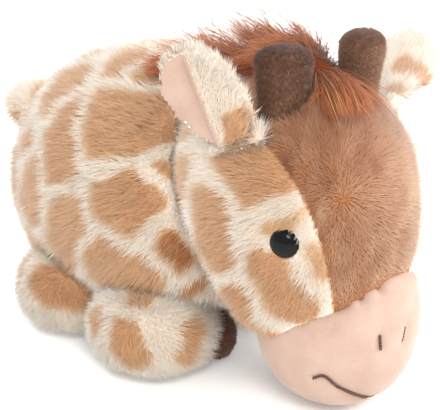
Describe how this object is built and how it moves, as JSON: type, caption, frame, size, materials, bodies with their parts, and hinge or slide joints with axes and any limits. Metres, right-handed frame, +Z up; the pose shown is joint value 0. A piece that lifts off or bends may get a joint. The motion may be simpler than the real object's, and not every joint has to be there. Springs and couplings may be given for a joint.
{
  "type": "plush giraffe",
  "caption": "Stuffed lying giraffe with patterned fur, turned head, velour muzzle and horns, floppy ears, swivelling stub legs and a tail.",
  "frame": {"origin": "on the floor, at the middle of the belly's flat underside, on the body's seam plane", "axes": "+Z up, -Y the way the body faces, +X the toy's left; the toy's longest extent runs along Y"},
  "size_m": [0.1491, 0.2545, 0.1593],
  "materials": {
    "patterned_plush": "long soft pile, tan patches on cream",
    "cream_plush": "long soft pile, cream",
    "blaze_plush": "long soft pile, light brown",
    "mane_plush": "extra long rust hair",
    "brown_velour": "short velour, dark brown",
    "pink_velour": "short velour, pale pink",
    "polyester_fibre": "loose white stuffing",
    "black_eye_plastic": "polished black",
    "white_washer_plastic": "moulded white",
    "brown_thread": "thick dark brown thread"
  },
  "bodies": {
    "body": {"body_cover_right": "patterned_plush", "body_cover_left": "patterned_plush", "belly_panel": "cream_plush", "body_filling": "polyester_fibre", "mane_withers": "mane_plush"},
    "neck": {"neck_filling": "polyester_fibre"},
    "head": {"head_side_right": "patterned_plush", "head_side_left": "patterned_plush", "face_blaze": "blaze_plush", "head_filling": "polyester_fibre", "muzzle_cover": "pink_velour", "muzzle_filling": "polyester_fibre", "eye_right": "black_eye_plastic", "eye_left": "black_eye_plastic", "eye_washer_right": "white_washer_plastic", "eye_washer_left": "white_washer_plastic", "nostril_stitch_right": "brown_thread", "nostril_stitch_left": "brown_thread", "mouth_stitch": "brown_thread", "horn_right": "brown_velour", "horn_left": "brown_velour", "mane_crown": "mane_plush"},
    "ear_right": {"ear_back_right": "patterned_plush", "ear_lining_right": "pink_velour"},
    "ear_left": {"ear_back_left": "patterned_plush", "ear_lining_left": "pink_velour"},
    "leg_front_right": {"leg_front_right_cover": "patterned_plush", "leg_front_right_filling": "polyester_fibre", "leg_front_right_hoof": "brown_velour"},
    "leg_front_left": {"leg_front_left_cover": "patterned_plush", "leg_front_left_filling": "polyester_fibre", "leg_front_left_hoof": "brown_velour"},
    "leg_rear_right": {"leg_rear_right_cover": "patterned_plush", "leg_rear_right_filling": "polyester_fibre", "leg_rear_right_hoof": "brown_velour"},
    "leg_rear_left": {"leg_rear_left_cover": "patterned_plush", "leg_rear_left_filling": "polyester_fibre", "leg_rear_left_hoof": "brown_velour"},
    "tail": {"tail": "cream_plush"}
  },
  "joints": [
    {"name": "head_roll", "type": "hinge", "parent": "body", "child": "neck", "pos_m": [-0.002, -0.042, 0.07], "axis": [-0.0539, -0.8813, 0.4695], "range_deg": [-8, 8], "stiffness_Nm_per_rad": 0.5},
    {"name": "head_nod", "type": "hinge", "parent": "neck", "child": "head", "pos_m": [-0.002, -0.042, 0.07], "axis": [-1, 0, 0], "range_deg": [-3, 9], "stiffness_Nm_per_rad": 0.5},
    {"name": "ear_right_flap", "type": "hinge", "parent": "head", "child": "ear_right", "pos_m": [-0.04369, -0.09421, 0.11628], "axis": [-0.2768, 0.8403, -0.4662], "range_deg": [-25, 20], "stiffness_Nm_per_rad": 0.02},
    {"name": "ear_left_flap", "type": "hinge", "parent": "head", "child": "ear_left", "pos_m": [0.03072, -0.10335, 0.1117], "axis": [0.4129, 0.7576, -0.5056], "range_deg": [-25, 15], "stiffness_Nm_per_rad": 0.02},
    {"name": "leg_front_right_swivel", "type": "hinge", "parent": "body", "child": "leg_front_right", "pos_m": [-0.046, -0.046, 0], "axis": [0, 0, 1], "range_deg": [-12, 12], "stiffness_Nm_per_rad": 0.05},
    {"name": "leg_front_left_swivel", "type": "hinge", "parent": "body", "child": "leg_front_left", "pos_m": [0.046, -0.046, 0], "axis": [0, 0, 1], "range_deg": [-12, 12], "stiffness_Nm_per_rad": 0.05},
    {"name": "leg_rear_right_swivel", "type": "hinge", "parent": "body", "child": "leg_rear_right", "pos_m": [-0.046, 0.007, 0], "axis": [0, 0, 1], "range_deg": [-12, 12], "stiffness_Nm_per_rad": 0.05},
    {"name": "leg_rear_left_swivel", "type": "hinge", "parent": "body", "child": "leg_rear_left", "pos_m": [0.046, 0.007, 0], "axis": [0, 0, 1], "range_deg": [-12, 12], "stiffness_Nm_per_rad": 0.05},
    {"name": "tail_flick", "type": "hinge", "parent": "body", "child": "tail", "pos_m": [0, 0.06, 0.066], "axis": [1, 0, 0], "range_deg": [-18, 18], "stiffness_Nm_per_rad": 0.02}
  ]
}
